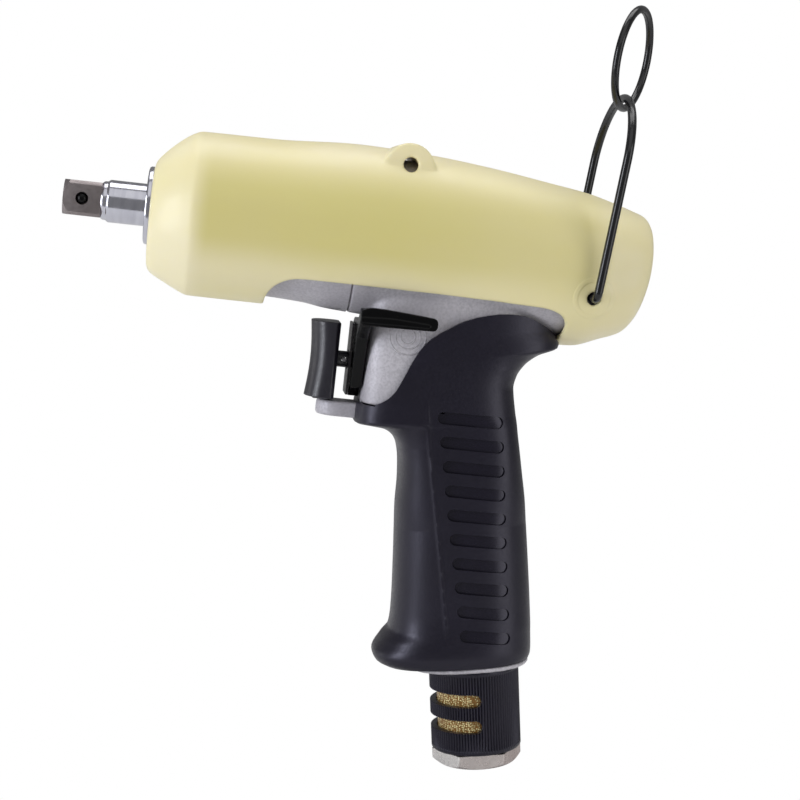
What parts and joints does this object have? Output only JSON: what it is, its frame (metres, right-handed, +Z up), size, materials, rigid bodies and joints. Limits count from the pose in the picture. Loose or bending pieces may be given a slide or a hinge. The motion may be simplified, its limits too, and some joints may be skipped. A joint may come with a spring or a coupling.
{
  "type": "oil-pulse impact wrench",
  "caption": "Pistol-grip pneumatic oil-pulse wrench: square drive, translucent rubber cover, trigger, reversing lever, rubber grip, swivel exhaust sleeve, hose inlet and hanging bail with ring.",
  "frame": {"origin": "centre of the square drive's front end face", "axes": "+X back along the spindle from the square to the rear; +Z up, the handle hangs towards -Z; +Y to the right of someone holding the tool"},
  "size_m": [0.1645, 0.0504, 0.2201],
  "materials": {
    "cast_aluminium": "satin",
    "cover_rubber": "satin translucent",
    "grip_rubber": "matte",
    "black_plastic": "satin",
    "black_wire": "gloss",
    "polished_steel": "polished",
    "dark_steel": "blackened",
    "hardened_steel": "ground",
    "nickel": "satin",
    "brass": "satin",
    "bronze": "satin",
    "vane_fibre": "matte",
    "seal_rubber": "matte",
    "felt": "matte"
  },
  "bodies": {
    "housing": {"main_housing": "cast_aluminium", "front_case": "cast_aluminium", "case_screw_1": "dark_steel", "case_screw_2": "dark_steel", "case_screw_3": "dark_steel", "case_screw_4": "dark_steel", "protective_cover": "cover_rubber", "grip_sleeve": "grip_rubber", "nose_bushing": "polished_steel", "shaft_bush": "bronze", "shaft_seal": "seal_rubber", "motor_cylinder": "hardened_steel", "front_end_plate": "cast_aluminium", "rear_end_plate": "cast_aluminium", "front_bearing": "polished_steel", "rear_bearing": "polished_steel", "valve_bush": "brass", "throttle_spring": "hardened_steel", "lever_plate": "nickel", "inlet_bushing": "nickel", "inlet_screen": "brass", "exhaust_mesh": "brass", "silencer_pad": "felt", "sleeve_seal_upper": "seal_rubber", "sleeve_seal_lower": "seal_rubber"},
    "anvil": {"main_shaft": "polished_steel", "pulse_blade_upper": "hardened_steel", "pulse_blade_lower": "hardened_steel", "blade_spring_front": "hardened_steel", "blade_spring_rear": "hardened_steel", "detent_spring": "hardened_steel"},
    "detent": {"detent_pin": "dark_steel"},
    "rotor": {"rotor": "hardened_steel", "pulse_case": "hardened_steel", "front_liner_plate": "hardened_steel", "rear_liner_plate": "hardened_steel", "relief_screw": "dark_steel", "vane_1": "vane_fibre", "vane_2": "vane_fibre", "vane_3": "vane_fibre", "vane_4": "vane_fibre", "vane_5": "vane_fibre"},
    "trigger": {"trigger": "black_plastic", "trigger_pin": "polished_steel", "throttle_valve": "bronze"},
    "reverse_lever": {"reverse_lever": "black_plastic", "reverse_valve": "brass"},
    "exhaust_sleeve": {"exhaust_sleeve": "black_plastic"},
    "bail": {"hanger_bail": "black_wire"},
    "ring": {"hanger_ring": "black_wire"}
  },
  "joints": [
    {"name": "anvil_spin", "type": "hinge", "parent": "housing", "child": "anvil", "pos_m": [0.03, 0, 0], "axis": [1, 0, 0], "continuous": true},
    {"name": "rotor_spin", "type": "hinge", "parent": "housing", "child": "rotor", "pos_m": [0.1, 0, 0], "axis": [1, 0, 0], "continuous": true},
    {"name": "detent_press", "type": "slide", "parent": "anvil", "child": "detent", "axis": [0, 1, 0], "range_m": [0, 0.0008], "stiffness_N_per_m": 800, "springref_m": -0.0005},
    {"name": "trigger_pull", "type": "slide", "parent": "housing", "child": "trigger", "axis": [1, 0, 0], "range_m": [0, 0.0028], "stiffness_N_per_m": 3000, "springref_m": -0.003},
    {"name": "reverse_turn", "type": "hinge", "parent": "housing", "child": "reverse_lever", "pos_m": [0.085, 0, -0.0368], "axis": [1, 0, 0], "range_deg": [0, 25]},
    {"name": "exhaust_aim", "type": "hinge", "parent": "housing", "child": "exhaust_sleeve", "pos_m": [0.12982, 0, -0.13182], "axis": [0.1487, 0, -0.9889], "continuous": true},
    {"name": "bail_swing", "type": "hinge", "parent": "housing", "child": "bail", "pos_m": [0.1465, 0, -0.0117], "axis": [0, 1, 0], "range_deg": [-40, 140]},
    {"name": "ring_swing", "type": "hinge", "parent": "bail", "child": "ring", "pos_m": [0.15179, 0, 0.04425], "axis": [0, 1, 0], "range_deg": [-60, 100]}
  ]
}
